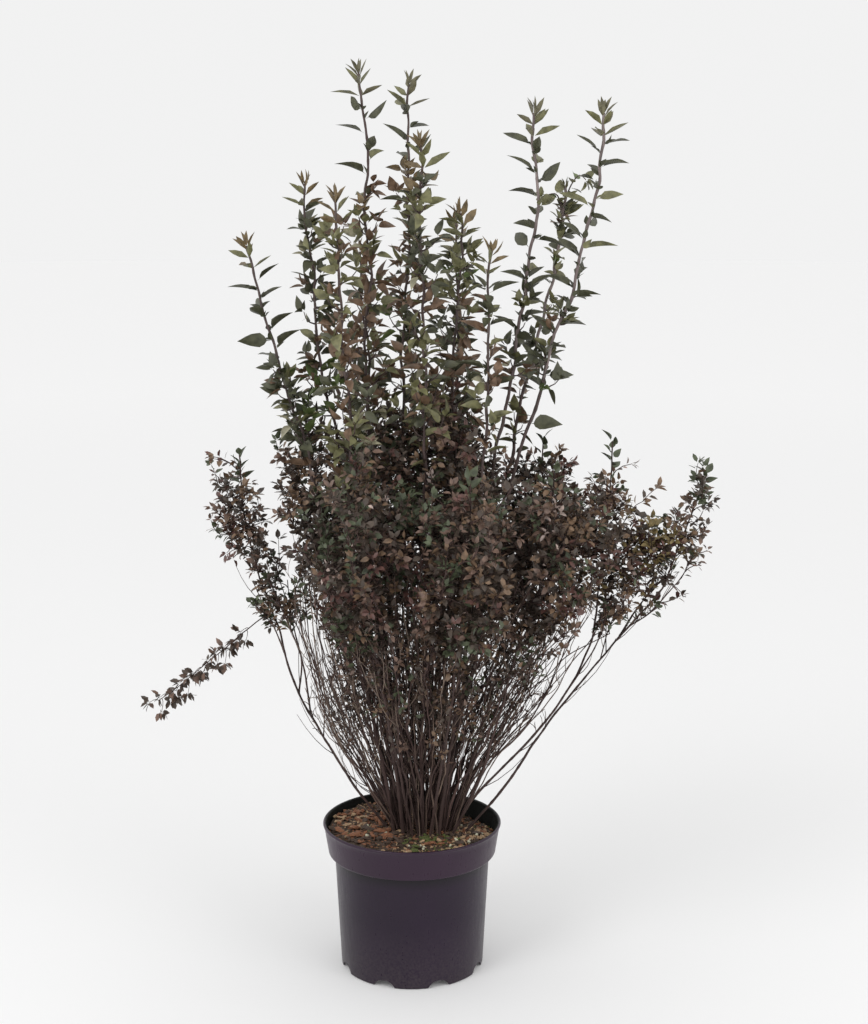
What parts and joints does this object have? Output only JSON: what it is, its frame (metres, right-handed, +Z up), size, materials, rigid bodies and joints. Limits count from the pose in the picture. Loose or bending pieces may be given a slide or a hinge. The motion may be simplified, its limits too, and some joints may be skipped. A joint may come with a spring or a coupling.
{
  "type": "potted ninebark",
  "caption": "Upright purple-leaved shrub in a round plastic nursery pot: a clump of thin canes, a full low body of small leaves and tall leafy shoots above it.",
  "frame": {"origin": "middle of the pot's flat underside, where the plant stands", "axes": "+Z up, +X to the right and -Y towards the viewer in the pictured view"},
  "size_m": [0.5927, 0.3765, 0.96],
  "materials": {
    "pot": "satin",
    "potting_mix": "matte",
    "bark": "matte",
    "purple_leaves": "matte",
    "green_leaves": "matte"
  },
  "bodies": {
    "root": {"pot": "pot", "potting_mix": "potting_mix", "cane_left": "bark", "cane_left_front": "bark", "cane_left_back": "bark", "cane_front": "bark", "cane_back": "bark", "cane_heart": "bark", "cane_right_front": "bark", "cane_right_back": "bark", "cane_right": "bark", "cane_far_right": "bark", "cane_far_left": "bark", "cane_tall_far_left": "bark", "cane_tall_left": "bark", "cane_tall_left_front": "bark", "cane_tall_crown_left": "bark", "cane_tall_crown": "bark", "cane_tall_front": "bark", "cane_tall_middle": "bark", "cane_tall_middle_right": "bark", "cane_tall_right": "bark", "cane_tall_far_right": "bark", "cane_tall_right_back": "bark", "cane_tall_back": "bark", "cane_tall_left_back": "bark", "bough_tall_far_left": "bark", "bough_tall_left": "bark", "bough_tall_crown_left": "bark", "bough_tall_right": "bark", "bough_tall_far_right": "bark", "bough_low_spray": "bark", "leaves_left": "purple_leaves", "leaves_left_front": "purple_leaves", "leaves_left_back": "purple_leaves", "leaves_front": "purple_leaves", "leaves_back": "purple_leaves", "leaves_heart": "purple_leaves", "leaves_right_front": "purple_leaves", "leaves_right_back": "purple_leaves", "leaves_right": "purple_leaves", "leaves_far_right": "purple_leaves", "leaves_far_left": "purple_leaves", "leaves_low_spray": "purple_leaves", "leaves_tall_far_left": "green_leaves", "leaves_tall_left": "green_leaves", "leaves_tall_left_front": "green_leaves", "leaves_tall_crown_left": "green_leaves", "leaves_tall_crown": "green_leaves", "leaves_tall_front": "green_leaves", "leaves_tall_middle": "green_leaves", "leaves_tall_middle_right": "green_leaves", "leaves_tall_right": "green_leaves", "leaves_tall_far_right": "green_leaves", "leaves_tall_right_back": "green_leaves", "leaves_tall_back": "green_leaves", "leaves_tall_left_back": "green_leaves"}
  },
  "joints": []
}
